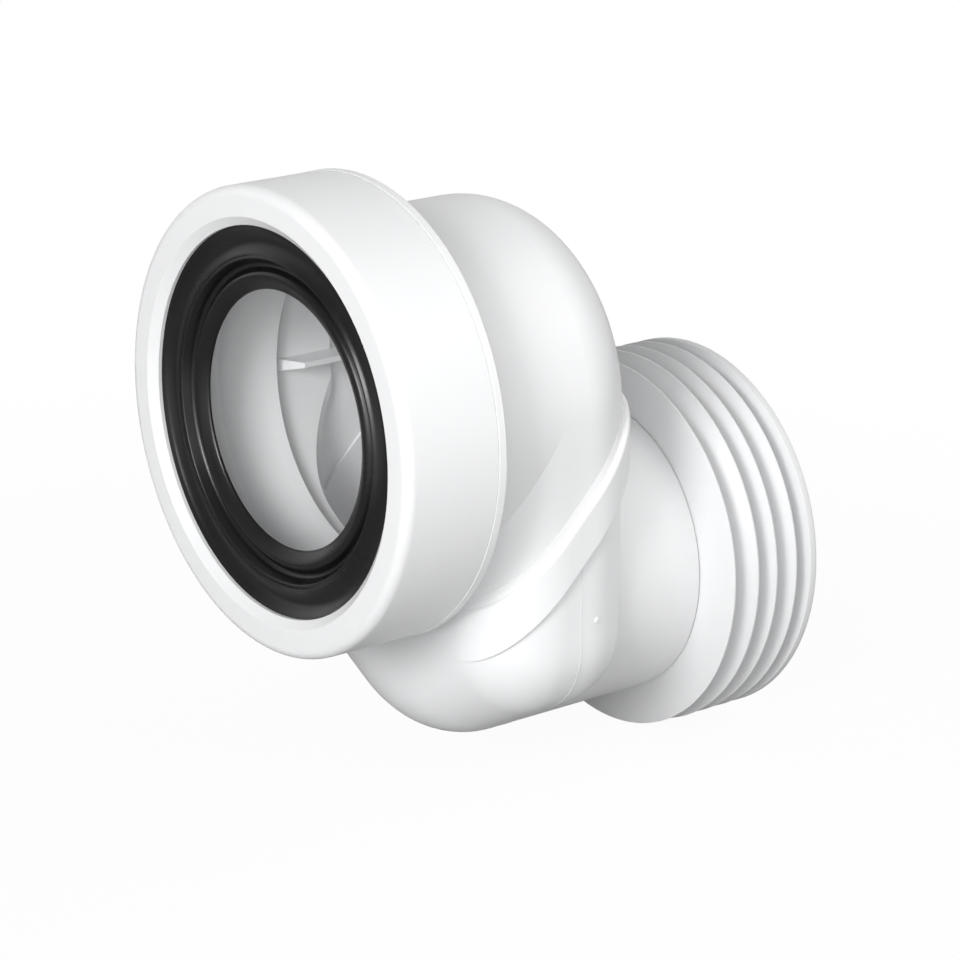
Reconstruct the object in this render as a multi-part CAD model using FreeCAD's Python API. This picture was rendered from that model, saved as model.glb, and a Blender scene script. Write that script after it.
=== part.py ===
import FreeCAD, Part
import math
import os

os.makedirs("parts", exist_ok=True)

V = FreeCAD.Vector

# Frame, in mm: X runs along the pipe from the mouth to the outlet and Z is up.
# The origin is the centre of the mouth, inside the collar's edge.

# Fits between the pieces
joint_clearance = 0.1
snap_clearance = 0.2

# Collar
collar_r = 67.0
collar_front_x = -3.0
collar_rear_x = 28.0
collar_edge_round = 2.9
collar_wall = 3.0
mouth_face_r = 58.4
mouth_r = 55.8
mouth_land_front_x = -0.8
mouth_land_back_x = 0.3
snap_bead_x = 20.5
snap_bead_length = 3.0
snap_bead_height = 0.7

# Seal
seal_rim_depth = 5.2
seal_skirt_wall = 3.0
seal_skirt_length = 7.0
seal_hole_r = 37.0
seal_hole_x = 3.7
seal_hole_land = 1.0
seal_valley_r = 50.6
seal_valley_x = 3.6
seal_ridge_r = 45.8
seal_ridge_x = 0.5
seal_groove_r = 43.0
seal_groove_x = 5.0
seal_lip_r = 40.6
seal_lip_x = 3.1
seal_fold_round = 1.0
seal_wall = 2.1
seal_rim_clearance = 0.4

# Inlet tube and its socket
tube_r = 54.15
tube_wall = 3.4
sleeve_gap = 0.5
ring_wall = 3.0
flange_thickness = 3.0
flange_proud = 0.2
flange_edge_round = 0.8
tube_step_x = 37.5

# Chamber
chamber_x0 = 39.5
chamber_x1 = 94.2
chamber_round0 = 22.5
chamber_round1 = 23.0
chamber_corner_r = 24.5
chamber_corner_z = -66.5
chamber_wall = 2.6
tube_overlap = 8.0

# Slanted joint: a plane is named by its value of x - z
far_plane = 500.0
band_top = 93.0
seat = 97.0
band_bottom = 108.2
band_proud = 2.0
band_proud_x1 = 2.6
band_proud_x0 = 0.8
band_edge_round = 1.3
band_lower_edge = 0.3
foot_top = 89.8
foot_proud = 0.6
foot_proud_x0 = 0.3
foot_ramp_length = 2.2
foot_ramp_height = 0.55
joint_groove = 0.35
joint_groove_depth = 1.2

# Recess and rib on the inner walls of the chamber
recess_depth = 1.2
lower_recess_depth = 0.4
recess_x = 57.2
recess_top_z = 30.0
recess_low_z = -13.0
recess_disc_x = 88.9
recess_disc_z = -32.0
recess_disc_r = 37.2
rib_top_z = 0.5
rib_root_thickness = 4.0
rib_crest_thickness = 1.6
rib_height = 8.4
rib_end_x = 84.0
rib_ramp = 4.6

# Outlet pipe
outlet_z = -60.2
pipe_r = 44.5
pipe_wall = 3.2
pipe_spigot_x = 120.9
pipe_spigot_r = 43.2
pipe_end_x = 151.5

# Sleeve with fins: each tip is (x, radius)
fin_tips = [(123.9, 56.9), (132.6, 57.4), (140.0, 57.3), (147.8, 57.3)]
fin_tip_width = 0.7
fin_root_r = 49.6
fin_root_gap = 1.3
fin_flank_start = 4.2
fin_flank_round = 4.0
end_ring_x = 153.4
end_ring_r = 57.3
end_ring_land = 2.8
end_ring_round = 0.8
sleeve_end_x = 157.0

# Places that the seal and the socket share
seal_rim_back_x = mouth_land_back_x + seal_rim_depth
seal_skirt_end_x = seal_rim_back_x + seal_skirt_length
ring_r = collar_r - collar_wall - snap_clearance
ring_inner_r = ring_r - ring_wall


def turned(corners, axis_z=0.0):
    """Solid turned round an axis along X at height axis_z.

    Each corner of the profile is (x, r) or (x, r, radius of its rounding).
    """
    points = [V(c[0], 0, axis_z + c[1]) for c in corners]
    edges = []
    last = None
    first = None
    for i, corner in enumerate(corners):
        here = points[i]
        start = here
        end = here
        if len(corner) == 3:
            back = (points[i - 1] - here).normalize()
            ahead = (points[(i + 1) % len(points)] - here).normalize()
            half_angle = back.getAngle(ahead) / 2.0
            reach = corner[2] / math.tan(half_angle)
            start = here + back * reach
            end = here + ahead * reach
            middle = here + (back + ahead).normalize() * (corner[2] / math.sin(half_angle) - corner[2])
        if last is not None and last.distanceToPoint(start) > 1e-6:
            edges.append(Part.makeLine(last, start))
        if len(corner) == 3:
            edges.append(Part.Arc(start, middle, end).toShape())
        if first is None:
            first = start
        last = end
    edges.append(Part.makeLine(last, first))
    face = Part.Face(Part.Wire(edges))
    return face.revolve(V(0, 0, axis_z), V(1, 0, 0), 360)


def tube(x0, x1, r, axis_z=0.0):
    """Plain cylinder along X."""
    return Part.makeCylinder(r, x1 - x0, V(x0, 0, axis_z), V(1, 0, 0))


def chamber_section(offset, x):
    """Face of the chamber's outline: a half circle, flat flanks, round corners and a round bottom."""
    w = tube_r + offset
    rc = chamber_corner_r + offset
    rb = pipe_r + offset
    cy = tube_r - chamber_corner_r
    cz = chamber_corner_z
    lean = math.asin((rb - rc) / math.hypot(cy, outlet_z - cz)) - math.atan2(outlet_z - cz, cy)

    def at(y, z):
        return V(x, y, z)

    def corner(angle):
        return (cy + rc * math.sin(angle), cz - rc * math.cos(angle))

    tangent = corner(lean)
    middle = corner((lean + math.pi / 2.0) / 2.0)
    bottom = (rb * math.sin(lean), outlet_z - rb * math.cos(lean))
    edges = [Part.Arc(at(w, 0), at(0, w), at(-w, 0)).toShape()]
    edges.append(Part.makeLine(at(-w, 0), at(-w, cz)))
    edges.append(Part.Arc(at(-w, cz), at(-middle[0], middle[1]), at(-tangent[0], tangent[1])).toShape())
    edges.append(Part.makeLine(at(-tangent[0], tangent[1]), at(-bottom[0], bottom[1])))
    under = at(0, outlet_z - rb)
    edges.append(Part.Arc(at(-bottom[0], bottom[1]), under, at(bottom[0], bottom[1])).toShape())
    edges.append(Part.makeLine(at(bottom[0], bottom[1]), at(tangent[0], tangent[1])))
    edges.append(Part.Arc(at(tangent[0], tangent[1]), at(middle[0], middle[1]), at(w, cz)).toShape())
    edges.append(Part.makeLine(at(w, cz), at(w, 0)))
    return Part.Face(Part.Wire(edges))


def chamber(offset, x0, x1, round0, round1):
    """Chamber solid with both ends rounded."""
    solid = chamber_section(offset, x0).extrude(V(x1 - x0, 0, 0))
    for x, radius in ((x0, round0), (x1, round1)):
        rim = [e for e in solid.Edges if all(abs(v.X - x) < 0.01 for v in e.Vertexes)]
        solid = solid.makeFillet(radius, rim)
    return solid


def slanted(low, high):
    """Block between two planes of the slanted joint."""
    slope = math.sqrt(2.0)
    corner = V(low / slope, -far_plane, -far_plane)
    block = Part.makeBox((high - low) / slope, 2 * far_plane, 2 * far_plane, corner)
    block.rotate(V(0, 0, 0), V(0, 1, 0), 45)
    return block


def layer(proud, proud_x0, proud_x1, low, high):
    """Slice of the chamber between two slanted planes, standing proud of its outside."""
    whole = chamber(
        proud,
        chamber_x0 - proud_x0,
        chamber_x1 + proud_x1,
        chamber_round0 + proud_x0,
        chamber_round1 + proud,
    )
    return whole.common(slanted(low, high))


def plane_edges(solid, level):
    """Edges that lie on one plane of the slanted joint."""
    return [e for e in solid.Edges if all(abs(p.x - p.z - level) < 0.01 for p in e.discretize(5))]


def inner_chamber(wall):
    """Hollow that leaves a wall of the given thickness round the chamber."""
    return chamber(-wall, chamber_x0 + wall, chamber_x1 - wall, chamber_round0 - wall, chamber_round1 - wall)


def recess_region():
    """Side view of the thinned part of the flanks, as a block across the chamber."""
    across = 2 * tube_r
    corner = V(recess_x, -tube_r, recess_low_z)
    strip = Part.makeBox(chamber_x1 - recess_x, across, recess_top_z - recess_low_z, corner)
    disc = Part.makeCylinder(recess_disc_r, across, V(recess_disc_x, -tube_r, recess_disc_z), V(0, 1, 0))
    return strip.fuse(disc)


def wall_rib(side):
    """Ledge along one inner wall, thick at the wall and thin at its crest."""
    root = side * (tube_r - 0.5 * chamber_wall)
    crest = side * (tube_r - chamber_wall - rib_height)
    low_z = rib_top_z - rib_root_thickness
    crest_z = rib_top_z - rib_crest_thickness
    start = Part.makePolygon([
        V(tube_step_x, root, rib_top_z),
        V(tube_step_x + rib_ramp, crest, rib_top_z),
        V(tube_step_x + rib_ramp, crest, crest_z),
        V(tube_step_x, root, low_z),
        V(tube_step_x, root, rib_top_z),
    ])
    end = Part.makePolygon([
        V(rib_end_x, root, rib_top_z),
        V(rib_end_x, crest, rib_top_z),
        V(rib_end_x, crest, crest_z),
        V(rib_end_x, root, low_z),
        V(rib_end_x, root, rib_top_z),
    ])
    return Part.makeLoft([start, end], True, True)


def make_collar():
    """Collar with its face, its inner edge over the seal and the bead that snaps into the socket."""
    inner_r = collar_r - collar_wall
    bead_r = inner_r - snap_bead_height
    bead_end = snap_bead_x + snap_bead_length
    return turned([
        (mouth_land_back_x, mouth_r),
        (mouth_land_front_x, mouth_r),
        (collar_front_x, mouth_face_r, 0.5),
        (collar_front_x, collar_r, collar_edge_round),
        (collar_rear_x, collar_r, 0.4),
        (collar_rear_x, inner_r),
        (bead_end, inner_r),
        (bead_end - snap_bead_height, bead_r),
        (snap_bead_x + snap_bead_height, bead_r),
        (snap_bead_x, inner_r),
        (mouth_land_back_x, inner_r),
    ])


def make_seal():
    """Folded rubber seal: its rim sits between collar and ring, its skirt inside the ring."""
    rim_r = collar_r - collar_wall - seal_rim_clearance
    skirt_inner = ring_inner_r - seal_skirt_wall
    hole_end = seal_hole_x + seal_hole_land
    return turned([
        (mouth_land_back_x, mouth_r),
        (seal_valley_x, seal_valley_r, 2.0),
        (seal_ridge_x, seal_ridge_r, seal_fold_round),
        (seal_groove_x, seal_groove_r, seal_fold_round),
        (seal_lip_x, seal_lip_r, 1.2),
        (seal_hole_x, seal_hole_r),
        (hole_end, seal_hole_r),
        (seal_lip_x + seal_wall, seal_lip_r - 0.4, 1.0),
        (seal_groove_x + seal_wall + 0.6, seal_groove_r, 1.2),
        (seal_ridge_x + seal_wall + 1.4, seal_ridge_r + 0.4, 0.6),
        (seal_valley_x + seal_wall, seal_valley_r - 0.4, 1.5),
        (seal_rim_back_x + 1.4, skirt_inner, 1.0),
        (seal_skirt_end_x, skirt_inner),
        (seal_skirt_end_x, ring_inner_r),
        (seal_rim_back_x, ring_inner_r),
        (seal_rim_back_x, rim_r),
        (mouth_land_back_x, rim_r),
    ])


def make_socket():
    """Ring that holds the seal, the flange behind the collar and the start of the inlet tube."""
    bore = tube_r - tube_wall
    groove_r = ring_r - snap_bead_height
    groove_start = snap_bead_x - snap_clearance
    groove_end = snap_bead_x + snap_bead_length + snap_clearance
    flange_end = collar_rear_x + flange_thickness
    flange_r = collar_r + flange_proud
    ring = turned([
        (seal_rim_back_x, ring_inner_r),
        (seal_rim_back_x, ring_r),
        (groove_start, ring_r),
        (groove_start + snap_bead_height, groove_r),
        (groove_end - snap_bead_height, groove_r),
        (groove_end, ring_r),
        (collar_rear_x, ring_r),
        (collar_rear_x, ring_inner_r),
    ])
    flange = turned([
        (collar_rear_x, bore),
        (collar_rear_x, flange_r),
        (flange_end, flange_r, flange_edge_round),
        (flange_end, bore),
    ])
    sleeve = turned([
        (seal_skirt_end_x + sleeve_gap, bore),
        (seal_skirt_end_x + sleeve_gap, tube_r),
        (tube_step_x, tube_r),
        (tube_step_x, bore),
    ])
    return sleeve.fuse([ring, flange])


def make_bodies():
    """Both halves of the chamber, from one set of outer and inner shapes."""
    tube_end = chamber_x0 + chamber_round0 + tube_overlap
    shell = chamber(0.0, chamber_x0, chamber_x1, chamber_round0, chamber_round1)
    above = slanted(-far_plane, seat)
    below = slanted(seat, far_plane)
    hollow = inner_chamber(chamber_wall)
    thin = inner_chamber(chamber_wall - recess_depth).common(recess_region()).common(above)
    lower_thin = inner_chamber(chamber_wall - lower_recess_depth).common(recess_region())
    step_bore = tube(tube_step_x, tube_end, tube_r - chamber_wall)
    hollow = hollow.fuse([thin, lower_thin, step_bore])

    band = layer(band_proud, band_proud_x0, band_proud_x1, band_top, band_bottom)
    band = band.makeFillet(band_edge_round, plane_edges(band, band_top))
    band = band.makeChamfer(band_lower_edge, plane_edges(band, band_bottom))
    foot = layer(foot_proud, foot_proud_x0, foot_proud, foot_top, seat)
    foot = foot.makeChamfer(foot_ramp_length, foot_ramp_height, plane_edges(foot, foot_top))
    spigot_room = layer(joint_clearance, joint_clearance, joint_clearance, seat, far_plane)
    groove_start = band_bottom - math.sqrt(2.0) * joint_groove_depth
    groove = layer(joint_groove, joint_groove, joint_groove, groove_start, far_plane)

    outside = shell.fuse(tube(tube_step_x, tube_end, tube_r))
    upper = outside.common(above)
    upper = upper.fuse([band, foot]).cut(spigot_room).cut(groove).cut(hollow)
    bore = tube(collar_rear_x, tube_step_x, tube_r - tube_wall)
    upper = upper.fuse(make_socket()).cut(bore)
    for side in (1, -1):
        upper = upper.fuse(wall_rib(side).common(outside))
    upper = upper.removeSplitter()

    pipe = turned([
        (chamber_x1 - chamber_round1, 0.0),
        (chamber_x1 - chamber_round1, pipe_r),
        (pipe_spigot_x, pipe_r, 0.2),
        (pipe_spigot_x, pipe_spigot_r),
        (pipe_end_x, pipe_spigot_r),
        (pipe_end_x, 0.0),
    ], outlet_z)
    pipe_bore = tube(chamber_x1 - chamber_round1, pipe_end_x, pipe_r - pipe_wall, outlet_z)
    lower = shell.common(below).fuse(pipe).cut(hollow).cut(pipe_bore)
    lower = lower.removeSplitter()
    return upper, lower


def make_fin_sleeve():
    """Soft sleeve on the pipe's thin end, with four fins and an end ring that fill a soil pipe."""
    bore = pipe_r - pipe_wall
    half = fin_tip_width / 2.0
    corners = [(pipe_spigot_x, pipe_spigot_r), (pipe_spigot_x, pipe_r, 0.2)]
    for x, r in fin_tips:
        corners.append((x - half, r))
        corners.append((x + half, r))
        corners.append((x + fin_root_gap, fin_root_r, 0.8))
        corners.append((x + fin_flank_start, fin_root_r, fin_flank_round))
    land_end = end_ring_x + end_ring_land
    corners.append((end_ring_x, end_ring_r))
    corners.append((land_end, end_ring_r, end_ring_round))
    corners.append((land_end + 0.6, bore + 3.0, 2.0))
    corners.append((sleeve_end_x, bore, 0.5))
    corners.append((pipe_end_x, bore))
    corners.append((pipe_end_x, pipe_spigot_r))
    return turned(corners, outlet_z)


upper_half, lower_half = make_bodies()

pieces = {
    "inlet_collar": make_collar(),
    "inlet_seal": make_seal(),
    "inlet_body": upper_half,
    "outlet_body": lower_half,
    "outlet_fin_seal": make_fin_sleeve(),
}

for name, shape in pieces.items():
    if shape.ShapeType == "Compound" and len(shape.Solids) == 1:
        shape = shape.Solids[0]
    shape.exportStep("parts/" + name + ".step")
    box = shape.BoundBox
    print(name, shape.ShapeType, len(shape.Solids), shape.isValid(), round(shape.Volume),
          [round(v, 2) for v in (box.XMin, box.XMax, box.YMin, box.YMax, box.ZMin, box.ZMax)])
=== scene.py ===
import logging
import math
from dataclasses import dataclass
from enum import Enum
from typing import Any, Sequence

import bmesh
import bpy
from mathutils import Matrix, Vector


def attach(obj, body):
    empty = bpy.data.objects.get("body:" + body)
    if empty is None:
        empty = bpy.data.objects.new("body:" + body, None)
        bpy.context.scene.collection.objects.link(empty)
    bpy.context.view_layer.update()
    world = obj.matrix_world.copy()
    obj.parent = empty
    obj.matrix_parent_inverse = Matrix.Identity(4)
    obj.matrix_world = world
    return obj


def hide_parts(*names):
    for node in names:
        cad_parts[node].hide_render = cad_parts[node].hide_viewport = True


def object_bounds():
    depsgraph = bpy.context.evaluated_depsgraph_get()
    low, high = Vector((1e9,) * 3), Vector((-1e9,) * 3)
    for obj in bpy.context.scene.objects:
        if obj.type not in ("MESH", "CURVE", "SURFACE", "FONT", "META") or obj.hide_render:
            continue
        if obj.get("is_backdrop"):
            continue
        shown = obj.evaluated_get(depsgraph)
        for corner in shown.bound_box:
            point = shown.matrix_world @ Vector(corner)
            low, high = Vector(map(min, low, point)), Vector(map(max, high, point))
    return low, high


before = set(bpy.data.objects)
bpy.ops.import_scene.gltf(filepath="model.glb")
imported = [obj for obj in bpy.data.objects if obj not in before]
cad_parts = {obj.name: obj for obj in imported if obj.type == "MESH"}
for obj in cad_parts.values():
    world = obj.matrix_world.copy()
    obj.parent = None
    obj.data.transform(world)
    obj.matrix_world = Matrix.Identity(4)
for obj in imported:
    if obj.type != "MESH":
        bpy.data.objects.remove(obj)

log = logging.getLogger("pan_connector")

MM = 0.001
ROOT = "root"

Colour = tuple[float, float, float]
Corner = tuple[float, float, float]
Wave = tuple[float, float]

# Tolerances in metres: for the doubles of a spun ring and of a CAD mesh, and for a cut.
RING_WELD = 1e-7
CAD_WELD = 1e-6
CUT_REACH = 1e-8

# An uneven edge: its middle, and what the broad and the fine waves add.
WAVE_MIDDLE = 0.5
WAVE_BROAD = 0.3
WAVE_FINE = 0.2

NOISE_MIDDLE = 0.5
WHITE_LIGHT = (1.0, 1.0, 1.0, 1.0)


class Slot(Enum):
    """Material slot names meant for the scene's own pieces; this script does not assign them."""

    INLET = "inlet_plastic"
    OUTLET = "outlet_plastic"
    SEAL = "seal_rubber"
    FINS = "fin_rubber"


class Cast(Enum):
    """CAD nodes moulded in hard white plastic, which keep their solids."""

    COLLAR = "inlet_collar"
    INLET = "inlet_body"
    OUTLET = "outlet_body"


class Value:
    """A shader socket that can be used in sums."""

    def __init__(self, graph: "Graph", source: Any) -> None:
        """Keeps the socket and the graph that its sums are added to."""
        self.graph = graph
        self.source = source

    def _math(self, operation: str, left: Any, right: Any) -> "Value":
        """Adds one Math node.

        Args:
            operation: The node's operation.
            left: First value.
            right: Second value.

        Returns:
            The node's result.
        """
        return self.graph.node("ShaderNodeMath", {"operation": operation}, {0: left, 1: right})

    def __add__(self, other: Any) -> "Value":
        """self + other."""
        return self._math("ADD", self, other)

    def __radd__(self, other: Any) -> "Value":
        """other + self."""
        return self._math("ADD", other, self)

    def __sub__(self, other: Any) -> "Value":
        """self - other."""
        return self._math("SUBTRACT", self, other)

    def __rsub__(self, other: Any) -> "Value":
        """other - self."""
        return self._math("SUBTRACT", other, self)

    def __mul__(self, other: Any) -> "Value":
        """self * other."""
        return self._math("MULTIPLY", self, other)

    def __rmul__(self, other: Any) -> "Value":
        """other * self."""
        return self._math("MULTIPLY", other, self)

    def larger(self, other: Any) -> "Value":
        """The larger of two values."""
        return self._math("MAXIMUM", self, other)


@dataclass(frozen=True)
class Pattern:
    """A noise over a surface: its scale per metre, its detail and how strong that detail is."""

    scale: float
    detail: float
    roughness: float


class Graph:
    """A node tree, in which every node comes from one method."""

    def __init__(self, tree: bpy.types.NodeTree) -> None:
        """Empties the tree."""
        self.tree = tree
        tree.nodes.clear()

    def node(
        self,
        kind: str,
        settings: dict[str, Any] | None = None,
        inputs: dict[Any, Any] | None = None,
        output: Any = 0,
    ) -> Value:
        """Adds a node.

        Args:
            kind: Blender's name of the node type.
            settings: Its own settings, set first.
            inputs: Values or links of its sockets by name or number.
            output: Name or number of the socket that is returned.

        Returns:
            The output socket, wrapped.
        """
        made = self.tree.nodes.new(kind)
        for name, value in (settings or {}).items():
            setattr(made, name, value)
        for name, value in (inputs or {}).items():
            socket = made.inputs[name]
            plain = value.source if isinstance(value, Value) else value
            if isinstance(plain, bpy.types.NodeSocket):
                self.tree.links.new(plain, socket)
            else:
                socket.default_value = plain
        chosen = made.outputs[output] if len(made.outputs) else None
        return Value(self, chosen)

    def noise(self, place: Value, pattern: Pattern) -> Value:
        """Adds a noise.

        Args:
            place: Where on the object it is read.
            pattern: Its scale and detail.

        Returns:
            The noise, from 0 to 1.
        """
        return self.node("ShaderNodeTexNoise", {}, {
            "Vector": place, "Scale": pattern.scale,
            "Detail": pattern.detail, "Roughness": pattern.roughness,
        })

    def bump(
        self, height: Value, distance: float, strength: float, below: Value | None = None,
    ) -> Value:
        """Adds a relief.

        Args:
            height: Its height, from 0 to 1.
            distance: Depth of the whole relief in metres.
            strength: How much of it shows.
            below: Normal of the relief that it lies on, where there is one.

        Returns:
            The new normal.
        """
        inputs: dict[str, Any] = {"Height": height, "Distance": distance, "Strength": strength}
        if below is not None:
            inputs["Normal"] = below
        return self.node("ShaderNodeBump", {}, inputs)

    def blend(self, share: Value, first: Colour, second: Colour) -> Value:
        """Mixes two colours.

        Args:
            share: How much of the second one shows.
            first: Colour at a share of 0.
            second: Colour at a share of 1.

        Returns:
            The mixed colour.
        """
        return self.node("ShaderNodeMix", {"data_type": "RGBA"}, {
            0: share, 6: (*first, 1.0), 7: (*second, 1.0),
        }, 2)

    def along(self, vector: Value, direction: Vector) -> Value:
        """Measures a vector along a direction.

        Args:
            vector: The vector.
            direction: The direction, of length 1.

        Returns:
            How far the vector reaches that way.
        """
        settings = {"operation": "DOT_PRODUCT"}
        return self.node("ShaderNodeVectorMath", settings, {0: vector, 1: direction}, "Value")

    def ease(self, value: Value, edges: Sequence[float], ends: Sequence[float] = (0.0, 1.0)) -> Value:
        """Goes softly from one number to another.

        Args:
            value: What is followed.
            edges: Where on it the change starts and stops.
            ends: The numbers before and after the change.

        Returns:
            The eased number.
        """
        return self.node("ShaderNodeMapRange", {"interpolation_type": "SMOOTHSTEP"}, {
            "Value": value, "From Min": edges[0], "From Max": edges[1],
            "To Min": ends[0], "To Max": ends[1],
        })


def blank_material(name: str) -> tuple[bpy.types.Material, Graph]:
    """Starts a material.

    Args:
        name: Its name.

    Returns:
        The material and its empty graph.
    """
    material = bpy.data.materials.new(name)
    material.use_nodes = True
    return material, Graph(material.node_tree)


@dataclass(frozen=True)
class MouldedPlastic:
    """White injection-moulded plastic: smooth, with faint flow shades and a fine texture."""

    name: str
    colour: Colour
    flow_colour: Colour
    roughness: float = 0.36
    cloud_spread: float = 0.10
    grain_spread: float = 0.04
    ior: float = 1.49
    depth: float = 0.15
    depth_reach: float = 0.001
    depth_tint: Colour = (1.0, 0.95, 0.9)
    flow: Pattern = Pattern(14.0, 3.0, 0.45)
    flow_share: float = 0.7
    flow_depth: float = 0.00006
    flow_strength: float = 0.6
    cloud: Pattern = Pattern(70.0, 4.0, 0.55)
    cloud_share: float = 0.3
    shade_start: float = 0.35
    shade_gain: float = 1.8
    grain: Pattern = Pattern(1400.0, 2.0, 0.5)
    grain_depth: float = 0.000006
    grain_strength: float = 0.5
    offset: tuple[float, float, float] = (0.0, 0.0, 0.0)

    def make(self) -> bpy.types.Material:
        """Builds the material.

        Returns:
            The finished material.
        """
        material, graph = blank_material(self.name)
        place = graph.node("ShaderNodeTexCoord", output="Object")
        moved = graph.node("ShaderNodeMapping", {}, {"Vector": place, "Location": self.offset})
        flow = graph.noise(moved, self.flow)
        cloud = graph.noise(moved, self.cloud)
        grain = graph.noise(moved, self.grain)
        streaks = flow * self.flow_share + cloud * self.cloud_share - self.shade_start
        rough = (
            self.roughness + (cloud - NOISE_MIDDLE) * self.cloud_spread
            + (grain - NOISE_MIDDLE) * self.grain_spread
        )
        soft = graph.bump(flow, self.flow_depth, self.flow_strength)
        surface = graph.node("ShaderNodeBsdfPrincipled", {}, {
            "Base Color": graph.blend(streaks * self.shade_gain, self.colour, self.flow_colour),
            "Roughness": rough,
            "IOR": self.ior,
            "Subsurface Weight": self.depth,
            "Subsurface Radius": self.depth_tint,
            "Subsurface Scale": self.depth_reach,
            "Normal": graph.bump(grain, self.grain_depth, self.grain_strength, soft),
        })
        graph.node("ShaderNodeOutputMaterial", {}, {"Surface": surface})
        return material


@dataclass(frozen=True)
class SealRubber:
    """Black moulded rubber: a broken sheen, a fine grain and a trace of pale bloom."""

    name: str
    colour: Colour
    bloom_colour: Colour
    roughness: float = 0.30
    smear_spread: float = 0.16
    grain_spread: float = 0.08
    ior: float = 1.5
    shine: float = 0.5
    bloom: Pattern = Pattern(70.0, 6.0, 0.62)
    bloom_start: float = 0.46
    bloom_gain: float = 1.4
    ripple: Pattern = Pattern(154.0, 2.0, 0.5)
    ripple_depth: float = 0.00002
    grain: Pattern = Pattern(1100.0, 3.0, 0.6)
    grain_depth: float = 0.000004
    relief_strength: float = 0.5
    speck_scale: float = 550.0
    speck_reach: float = 0.16
    speck_gain: float = 2.2
    dust_start: float = 0.45
    dust_gain: float = 4.0

    def make(self) -> bpy.types.Material:
        """Builds the material.

        Returns:
            The finished material.
        """
        material, graph = blank_material(self.name)
        place = graph.node("ShaderNodeTexCoord", output="Object")
        bloom = graph.noise(place, self.bloom)
        ripple = graph.noise(place, self.ripple)
        grain = graph.noise(place, self.grain)
        specks = graph.node("ShaderNodeTexVoronoi", {}, {"Vector": place, "Scale": self.speck_scale})
        dots = (self.speck_reach - specks).larger(0.0) * self.speck_gain
        dust = dots * (bloom - self.dust_start).larger(0.0) * self.dust_gain
        pale = ((bloom - self.bloom_start) * self.bloom_gain).larger(0.0) + dust
        rough = (
            self.roughness + (bloom - NOISE_MIDDLE) * self.smear_spread
            + (grain - NOISE_MIDDLE) * self.grain_spread
        )
        waves = graph.bump(ripple, self.ripple_depth, self.relief_strength)
        surface = graph.node("ShaderNodeBsdfPrincipled", {}, {
            "Base Color": graph.blend(pale, self.colour, self.bloom_colour),
            "Roughness": rough,
            "IOR": self.ior,
            "Specular IOR Level": self.shine,
            "Normal": graph.bump(grain, self.grain_depth, self.relief_strength, waves),
        })
        graph.node("ShaderNodeOutputMaterial", {}, {"Surface": surface})
        return material


WHITE = (0.88, 0.885, 0.89)
WHITE_FLOW = (0.86, 0.867, 0.875)
PLASTICS = {
    Cast.COLLAR: MouldedPlastic("collar_white", WHITE, WHITE_FLOW),
    Cast.INLET: MouldedPlastic("inlet_white", WHITE, WHITE_FLOW, offset=(0.3, 0.1, 0.7)),
    Cast.OUTLET: MouldedPlastic("outlet_white", WHITE, WHITE_FLOW, offset=(0.9, 0.5, 0.2)),
}
SEAL_BLACK = SealRubber("seal_black", (0.003, 0.003, 0.0033), (0.008, 0.008, 0.0088))
FIN_WHITE = MouldedPlastic(
    "fin_white", (0.79, 0.795, 0.80), (0.765, 0.772, 0.78), roughness=0.46,
    grain=Pattern(1000.0, 2.0, 0.5), grain_depth=0.00001, offset=(0.2, 0.8, 0.4),
)


def spun(corners: Sequence[Corner], axis_z: float, steps: int, arc: int) -> bmesh.types.BMesh:
    """Spins a closed profile round an axis along X.

    Args:
        corners: Corners of the profile in mm: x, radius and how far its rounding reaches.
        axis_z: Height of the axis in mm.
        steps: Steps round the axis.
        arc: Segments of a rounding.

    Returns:
        The closed ring.
    """
    shape = bmesh.new()
    verts = [shape.verts.new((x * MM, 0.0, (axis_z + r) * MM)) for x, r, _ in corners]
    shape.faces.new(verts)
    for vert, (_, _, reach) in zip(verts, corners):
        if reach > 0.0:
            bmesh.ops.bevel(
                shape, geom=[vert], offset=reach * MM, offset_type="OFFSET", affect="VERTICES",
                segments=arc, profile=0.5, material=-1,
            )
    bmesh.ops.delete(shape, geom=shape.faces[:], context="FACES_ONLY")
    bmesh.ops.spin(
        shape, geom=shape.verts[:] + shape.edges[:], cent=(0.0, 0.0, axis_z * MM),
        axis=(1.0, 0.0, 0.0), angle=math.tau, steps=steps, use_merge=True,
    )
    bmesh.ops.remove_doubles(shape, verts=shape.verts[:], dist=RING_WELD)
    bmesh.ops.recalc_face_normals(shape, faces=shape.faces[:])
    return shape


def waver(turn: float, broad: Wave, fine: Wave) -> float:
    """Gives a soft edge its uneven run.

    Args:
        turn: Angle round the axis.
        broad: Number of broad waves round it and the angle at which they start.
        fine: The same for the fine waves.

    Returns:
        How far the edge gives there, from 0 to 1.
    """
    return (
        WAVE_MIDDLE + WAVE_BROAD * math.sin(broad[0] * turn + broad[1])
        + WAVE_FINE * math.sin(fine[0] * turn + fine[1])
    )


def placed(name: str, data: bpy.types.ID) -> bpy.types.Object:
    """Makes an object and puts it in the scene.

    Args:
        name: The object's name.
        data: Its mesh, camera or lamp.

    Returns:
        The object.
    """
    made = bpy.data.objects.new(name, data)
    bpy.context.scene.collection.objects.link(made)
    return made


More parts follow.
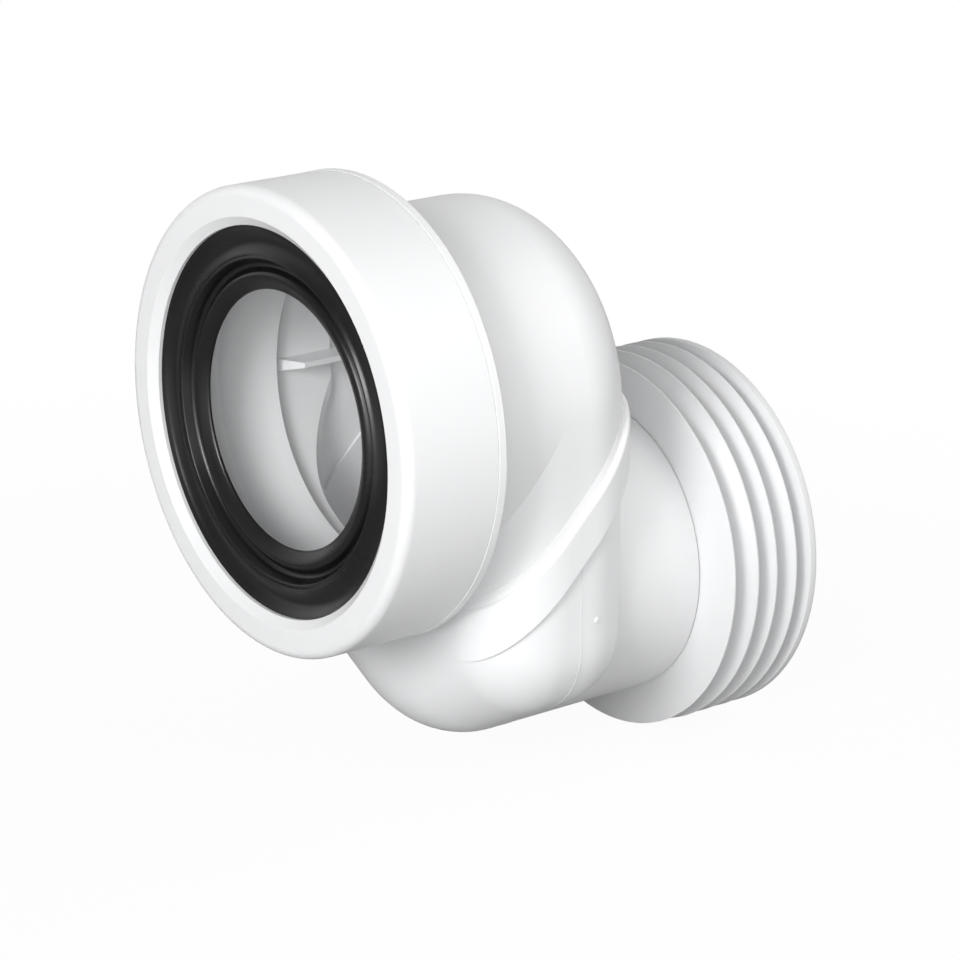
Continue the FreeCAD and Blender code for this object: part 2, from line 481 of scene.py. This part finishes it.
def finish_piece(
    shape: bmesh.types.BMesh, name: str, material: bpy.types.Material, crease: float,
) -> bpy.types.Object:
    """Turns a bmesh into a piece that rides on the body.

    Args:
        shape: The piece's shape, freed here.
        name: The piece's name.
        material: Its finish.
        crease: Angle in degrees above which an edge stays sharp.

    Returns:
        The finished object.
    """
    for face in shape.faces:
        face.smooth = True
    for edge in shape.edges:
        if len(edge.link_faces) == 2:
            edge.smooth = edge.calc_face_angle() < math.radians(crease)
    mesh = bpy.data.meshes.new(name)
    shape.to_mesh(mesh)
    shape.free()
    mesh.materials.append(material)
    piece = placed(name, mesh)
    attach(piece, ROOT)
    log.info("%s has %d faces", name, len(mesh.polygons))
    return piece


@dataclass
class LipSeal:
    """Black seal in the mouth: a hollow, a fold, a deep groove and a rounded lip. Sizes in mm."""

    node: str = "inlet_seal"
    mouth: Corner = (0.3, 55.8, 0.0)
    knee: Corner = (2.3, 53.5, 1.5)
    hollow: Corner = (3.0, 50.6, 2.2)
    foot: Corner = (1.7, 47.5, 0.5)
    fold: Corner = (0.5, 46.25, 0.7)
    groove_wall: Corner = (4.1, 44.9, 0.8)
    groove: Corner = (4.4, 43.5, 0.7)
    lip: Corner = (2.0, 41.8, 1.1)
    brow: Corner = (2.4, 39.8, 1.3)
    hole_edge: Corner = (4.0, 37.05, 0.6)
    hole_back: Corner = (4.7, 37.05, 0.3)
    lip_back: tuple[Corner, ...] = ((5.2, 40.2, 1.0), (7.2, 43.2, 1.0))
    fold_back: tuple[Corner, ...] = ((4.2, 46.4, 0.8), (5.7, 50.2, 2.0))
    skirt: tuple[Corner, ...] = (
        (6.9, 57.5, 1.2), (12.4, 57.6, 0.3), (12.4, 60.6, 0.3), (5.6, 60.7, 0.2),
    )
    rim: tuple[Corner, ...] = ((5.45, 63.5, 0.3), (0.35, 63.5, 0.3))
    steps: int = 240
    arc: int = 5
    crease: float = 50.0
    sag: float = 0.12
    sag_reach: float = 10.0
    broad: Wave = (2.0, 0.7)
    fine: Wave = (5.0, 2.1)

    def build(self) -> bpy.types.Object:
        """Builds the seal in the place of its plain solid.

        Returns:
            The seal.
        """
        front = (
            self.mouth, self.knee, self.hollow, self.foot, self.fold, self.groove_wall,
            self.groove, self.lip, self.brow, self.hole_edge, self.hole_back,
        )
        back = self.lip_back + self.fold_back + self.skirt + self.rim
        shape = spun(front + back, 0.0, self.steps, self.arc)
        for vert in shape.verts:
            radius = math.hypot(vert.co.y, vert.co.z)
            turn = math.atan2(vert.co.y, vert.co.z)
            free = max(0.0, 1.0 - (radius / MM - self.hole_edge[1]) / self.sag_reach)
            vert.co.x += self.sag * MM * free * waver(turn, self.broad, self.fine)
        piece = finish_piece(shape, "lip_seal", SEAL_BLACK.make(), self.crease)
        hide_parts(self.node)
        return piece


@dataclass
class BoreStop:
    """Slight funnel at the end of the inlet's bore, which stops the pan's spigot. Sizes in mm."""

    bore_r: float = 50.73
    start_x: float = 17.0
    start_step: float = 0.03
    waist: Corner = (27.0, 50.1, 5.0)
    end: Corner = (35.6, 48.1, 0.25)
    heel_x: float = 36.4
    heel_depth: float = 0.9
    heel_round: float = 0.4
    steps: int = 240
    arc: int = 6
    crease: float = 40.0

    def build(self, material: bpy.types.Material) -> bpy.types.Object:
        """Builds the funnel against the bore.

        Args:
            material: The upper half's finish.

        Returns:
            The funnel.
        """
        corners = (
            (self.start_x, self.bore_r - self.start_step, 0.0),
            self.waist,
            self.end,
            (self.heel_x, self.bore_r - self.heel_depth, self.heel_round),
            (self.heel_x, self.bore_r, 0.0),
            (self.start_x, self.bore_r, 0.0),
        )
        shape = spun(corners, 0.0, self.steps, self.arc)
        return finish_piece(shape, "bore_stop", material, self.crease)


@dataclass
class FinSleeve:
    """Soft sleeve with four fins and an end ring. Sizes in mm."""

    node: str = "outlet_fin_seal"
    axis_z: float = -60.2
    spigot_x: float = 120.9
    spigot_r: float = 43.2
    spigot_end: float = 151.5
    pipe_r: float = 44.5
    bore_r: float = 41.3
    clearance: float = 0.02
    toe: float = 0.3
    toe_end: float = 0.5
    toe_round: float = 0.1
    shoulder_gap: float = 0.35
    shoulder_round: float = 0.15
    tips: tuple[tuple[float, float], ...] = (
        (123.9, 56.9), (132.6, 57.4), (140.0, 57.3), (147.8, 57.3),
    )
    tip_width: float = 0.55
    tip_round: float = 0.1
    root_r: float = 49.6
    root_gap: float = 1.3
    root_round: float = 0.7
    flank_start: float = 4.2
    flank_round: float = 2.6
    end_x: float = 153.4
    end_r: float = 57.3
    end_round: float = 0.2
    end_land: float = 2.8
    land_round: float = 0.7
    face_step: float = 0.6
    face_r: float = 44.3
    face_round: float = 1.4
    last_x: float = 157.0
    last_round: float = 0.4
    steps: int = 288
    arc: int = 3
    crease: float = 38.0
    droop: float = 0.07
    fin_pitch: float = 7.5
    broad: Wave = (3.0, 1.7)
    fine: Wave = (7.0, 0.9)

    def corners(self) -> list[Corner]:
        """Lists the sleeve's profile from the pipe's shoulder to the open end and back.

        Returns:
            The corners.
        """
        half = self.tip_width / 2.0
        seat = self.spigot_x + self.clearance
        row: list[Corner] = [
            (seat, self.spigot_r, 0.0),
            (seat, self.spigot_r + self.toe, 0.0),
            (seat + self.shoulder_gap, self.spigot_r + self.toe_end, self.toe_round),
            (seat + self.shoulder_gap, self.pipe_r, self.shoulder_round),
        ]
        for x, r in self.tips:
            row += [
                (x - half, r, self.tip_round),
                (x + half, r, self.tip_round),
                (x + self.root_gap, self.root_r, self.root_round),
                (x + self.flank_start, self.root_r, self.flank_round),
            ]
        land = self.end_x + self.end_land
        stop = self.spigot_end + self.clearance
        row += [
            (self.end_x, self.end_r, self.end_round),
            (land, self.end_r, self.land_round),
            (land + self.face_step, self.face_r, self.face_round),
            (self.last_x, self.bore_r, self.last_round),
            (stop, self.bore_r, 0.0),
            (stop, self.spigot_r, 0.0),
        ]
        return row

    def build(self) -> bpy.types.Object:
        """Builds the sleeve in the place of its plain solid.

        Returns:
            The sleeve.
        """
        shape = spun(self.corners(), self.axis_z, self.steps, self.arc)
        for vert in shape.verts:
            rise = vert.co.z - self.axis_z * MM
            radius = math.hypot(vert.co.y, rise)
            free = max(0.0, (radius / MM - self.root_r) / (self.end_r - self.root_r))
            turn = math.atan2(vert.co.y, rise)
            fin = math.floor(vert.co.x / MM / self.fin_pitch)
            broad, fine = ((count, start * fin) for count, start in (self.broad, self.fine))
            shrink = 1.0 - self.droop * MM * free * waver(turn, broad, fine) / radius
            vert.co.y *= shrink
            vert.co.z = self.axis_z * MM + rise * shrink
        piece = finish_piece(shape, "fin_sleeve", FIN_WHITE.make(), self.crease)
        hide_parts(self.node)
        return piece


@dataclass
class OutletMarks:
    """The mould's fine parting line and gate mark on the lower half. Sizes in mm."""

    node: str = "outlet_body"
    line_x: float = 67.8
    line_width: float = 0.36
    line_height: float = 0.09
    heart_z: float = -50.0
    side_share: float = 0.3
    flank_y: float = -54.15
    gate_x: float = 73.6
    gate_z: float = -59.2
    gate_r: float = 0.9
    gate_height: float = 0.42
    gate_round: float = 0.32
    gate_sunk: float = 0.1
    gate_sides: int = 32
    crease: float = 40.0

    def build_line(self, material: bpy.types.Material) -> bpy.types.Object:
        """Cuts a narrow strip out of a copy of the wall and lifts it off the wall.

        Args:
            material: The lower half's finish.

        Returns:
            The parting line.
        """
        shape = bmesh.new()
        shape.from_mesh(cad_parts[self.node].data)
        bmesh.ops.remove_doubles(shape, verts=shape.verts[:], dist=CAD_WELD)
        for side in (-1.0, 1.0):
            bmesh.ops.bisect_plane(
                shape, geom=shape.verts[:] + shape.edges[:] + shape.faces[:], dist=CUT_REACH,
                plane_co=((self.line_x + side * self.line_width / 2.0) * MM, 0.0, 0.0),
                plane_no=(side, 0.0, 0.0), clear_outer=True, clear_inner=False,
            )
        inward = [f for f in shape.faces if not self._faces_out(f)]
        bmesh.ops.delete(shape, geom=inward, context="FACES")
        bmesh.ops.recalc_face_normals(shape, faces=shape.faces[:])
        if sum(f.normal.y * f.calc_center_median().y for f in shape.faces) < 0.0:
            bmesh.ops.reverse_faces(shape, faces=shape.faces[:])
        bmesh.ops.solidify(shape, geom=shape.faces[:], thickness=-self.line_height * MM)
        bmesh.ops.recalc_face_normals(shape, faces=shape.faces[:])
        return finish_piece(shape, "parting_line", material, self.crease)

    def _faces_out(self, face: bmesh.types.BMFace) -> bool:
        """Tells the outer wall from the inner one and from the joint.

        Args:
            face: A face of the cut strip.

        Returns:
            True for a face of the outer wall.
        """
        middle = face.calc_center_median()
        away = Vector((0.0, middle.y, middle.z - self.heart_z * MM))
        return abs(face.normal.x) < self.side_share and face.normal.dot(away) > 0.0

    def build_gate(self, material: bpy.types.Material) -> bpy.types.Object:
        """Builds the small round mark where the plastic entered the mould.

        Args:
            material: The lower half's finish.

        Returns:
            The gate mark.
        """
        shape = bmesh.new()
        bmesh.ops.create_circle(
            shape, cap_ends=True, radius=self.gate_r * MM, segments=self.gate_sides,
        )
        grown = bmesh.ops.extrude_face_region(shape, geom=shape.faces[:])
        top = [v for v in grown["geom"] if isinstance(v, bmesh.types.BMVert)]
        bmesh.ops.translate(shape, verts=top, vec=(0.0, 0.0, self.gate_height * MM))
        rim = [e for e in shape.edges if all(v in top for v in e.verts)]
        bmesh.ops.bevel(
            shape, geom=rim, offset=self.gate_round * MM, offset_type="OFFSET", affect="EDGES",
            segments=3, profile=0.5, material=-1,
        )
        upright = Matrix.Rotation(math.pi / 2.0, 3, "X")
        bmesh.ops.rotate(shape, verts=shape.verts[:], matrix=upright)
        seat = (self.gate_x * MM, (self.flank_y + self.gate_sunk) * MM, self.gate_z * MM)
        bmesh.ops.translate(shape, verts=shape.verts[:], vec=seat)
        bmesh.ops.recalc_face_normals(shape, faces=shape.faces[:])
        return finish_piece(shape, "gate_mark", material, self.crease)

    def build(self, material: bpy.types.Material) -> None:
        """Builds both marks in the lower half's finish."""
        self.build_line(material)
        self.build_gate(material)


def heading(azimuth: float, elevation: float) -> Vector:
    """Turns two angles into a direction.

    Args:
        azimuth: Angle in degrees from X towards Y.
        elevation: Angle in degrees above the floor.

    Returns:
        The direction, of length 1.
    """
    a = math.radians(azimuth)
    e = math.radians(elevation)
    return Vector((math.cos(e) * math.cos(a), math.cos(e) * math.sin(a), math.sin(e)))


@dataclass(frozen=True)
class Lamp:
    """A square softbox that looks at the object's middle. Sizes in metres, angles in degrees."""

    name: str
    azimuth: float
    elevation: float
    distance: float
    size: float
    watts: float


@dataclass
class Studio:
    """Pale floor, soft lamps, white surroundings and camera. Sizes in metres."""

    centre: Vector
    floor_z: float
    ambient: float = 0.36
    floor_colour: Colour = (0.40, 0.40, 0.40)
    seen_colour: Colour = (0.95, 0.95, 0.95)
    screen_edges: tuple[float, float] = (-0.1, 0.5)
    gloss_share: float = 0.9
    gloss_edges: tuple[float, float] = (-0.28, -0.08)
    shadow_share: float = 0.05
    fade_edges: tuple[float, float] = (0.22, 0.55)
    floor_half: float = 3.0
    lamps: tuple[Lamp, ...] = (
        Lamp("front", -28.0, 20.0, 1.6, 0.5, 12.0),
        Lamp("near", -10.0, 10.0, 1.6, 1.2, 13.5),
        Lamp("right", 60.0, 15.0, 1.6, 1.2, 4.6),
        Lamp("side", 90.0, 45.0, 1.6, 1.2, 6.2),
    )
    camera_azimuth: float = 51.94
    camera_elevation: float = 17.74
    camera_right: float = -0.05809
    camera_up: float = 0.01571
    camera_distance: float = 0.97283
    near_clip: float = 0.01
    focal_pixels: float = 3500.0
    frame_pixels: float = 960.0
    sensor: float = 36.0

    def axes(self) -> tuple[Vector, Vector, Vector]:
        """Finds the camera's axes.

        Returns:
            Its right, up and forward directions.
        """
        forward = heading(self.camera_azimuth, -self.camera_elevation)
        a = math.radians(self.camera_azimuth)
        right = Vector((math.sin(a), -math.cos(a), 0.0))
        return right, right.cross(forward), forward

    def build_camera(self) -> None:
        """Places the camera at the photograph's viewing angle."""
        right, up, forward = self.axes()
        place = -self.camera_right * right - self.camera_up * up - self.camera_distance * forward
        data = bpy.data.cameras.new("photo_camera")
        data.sensor_width = self.sensor
        data.lens = self.focal_pixels / self.frame_pixels * self.sensor
        data.clip_start = self.near_clip
        camera = placed("photo_camera", data)
        turn = Matrix((right, up, -forward)).transposed()
        camera.matrix_world = Matrix.Translation(place) @ turn.to_4x4()
        bpy.context.scene.camera = camera

    def build_lamps(self) -> None:
        """Places the softboxes by angles counted from the camera's own side."""
        for lamp in self.lamps:
            away = heading(self.camera_azimuth + 180.0 + lamp.azimuth, lamp.elevation)
            data = bpy.data.lights.new(lamp.name, "AREA")
            data.shape = "SQUARE"
            data.size = lamp.size
            data.energy = lamp.watts
            light = placed(lamp.name, data)
            light.location = self.centre + away * lamp.distance
            light.rotation_euler = away.to_track_quat("Z", "Y").to_euler()

    def build_world(self) -> None:
        """White behind the object, and an even grey for its light."""
        world = bpy.data.worlds.new("studio")
        bpy.context.scene.world = world
        world.use_nodes = True
        graph = Graph(world.node_tree)
        ray = graph.node("ShaderNodeTexCoord", output="Generated")
        screen = graph.ease(graph.along(ray, self.axes()[2]), self.screen_edges)
        even = graph.node("ShaderNodeBackground", {}, {"Strength": self.ambient})
        white = graph.node("ShaderNodeBackground", {}, {"Color": WHITE_LIGHT, "Strength": 1.0})
        both = graph.node("ShaderNodeMixShader", {}, {
            0: self._seen(graph, screen), 1: even, 2: white,
        })
        graph.node("ShaderNodeOutputWorld", {}, {"Surface": both})

    @staticmethod
    def _seen(graph: Graph, screen: Value) -> Value:
        """Finds how far a ray shows the white set, by the kind of ray.

        Args:
            graph: The node tree that asks.
            screen: Share of the white set that gloss and glass show.

        Returns:
            1 for rays from the camera, screen for gloss and glass, otherwise 0.
        """
        camera, gloss, glass = (
            graph.node("ShaderNodeLightPath", output=f"Is {kind} Ray")
            for kind in ("Camera", "Glossy", "Transmission")
        )
        return camera.larger(gloss.larger(glass) * screen)

    def floor_paper(self) -> bpy.types.Material:
        """Makes the floor's finish: white where it is seen, with a soft shadow, and grey for light.

        Returns:
            The material.
        """
        material, graph = blank_material("floor_paper")
        place = graph.node("ShaderNodeTexCoord", output="Object")
        settings = {"operation": "LENGTH"}
        reach = graph.node("ShaderNodeVectorMath", settings, {0: place}, "Value")
        ahead = graph.along(place, self.axes()[2])
        seen = self._seen(graph, graph.ease(ahead, self.gloss_edges, (self.gloss_share, 0.0)))
        fade = graph.ease(reach, self.fade_edges)
        colour = graph.blend(seen, self.floor_colour, self.seen_colour)
        paper = graph.node("ShaderNodeBsdfDiffuse", {}, {"Color": colour})
        white = graph.node("ShaderNodeEmission", {}, {"Color": WHITE_LIGHT, "Strength": 1.0})
        share = seen * (1.0 - self.shadow_share * (1.0 - fade))
        both = graph.node("ShaderNodeMixShader", {}, {0: share, 1: paper, 2: white})
        graph.node("ShaderNodeOutputMaterial", {}, {"Surface": both})
        return material

    def build_floor(self) -> None:
        """A pale floor that stays white in the picture and keeps a soft shadow."""
        shape = bmesh.new()
        bmesh.ops.create_grid(shape, x_segments=1, y_segments=1, size=self.floor_half)
        mesh = bpy.data.meshes.new("floor")
        shape.to_mesh(mesh)
        shape.free()
        mesh.transform(Matrix.Translation((self.centre.x, self.centre.y, self.floor_z)))
        mesh.materials.append(self.floor_paper())
        floor = placed("floor", mesh)
        floor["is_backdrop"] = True

    def build(self) -> None:
        """Builds the whole studio."""
        bpy.context.scene.view_settings.view_transform = "Standard"
        self.build_world()
        self.build_floor()
        self.build_lamps()
        self.build_camera()


def dress(cast: Cast) -> bpy.types.Material:
    """Gives a CAD node its finish.

    Args:
        cast: Which node.

    Returns:
        The finish.
    """
    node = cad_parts[cast.value]
    material = PLASTICS[cast].make()
    node.data.materials.clear()
    node.data.materials.append(material)
    log.info("%s carries %s", cast.value, material.name)
    return material


def main() -> None:
    """Builds the pieces, the finishes and the studio."""
    logging.basicConfig(level=logging.INFO, format="%(message)s")
    low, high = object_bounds()
    finishes = {cast: dress(cast) for cast in Cast}
    LipSeal().build()
    BoreStop().build(finishes[Cast.INLET])
    FinSleeve().build()
    OutletMarks().build(finishes[Cast.OUTLET])
    Studio(centre=(low + high) / 2.0, floor_z=low.z).build()
    bpy.context.view_layer.update()


if __name__ == "__main__":
    main()
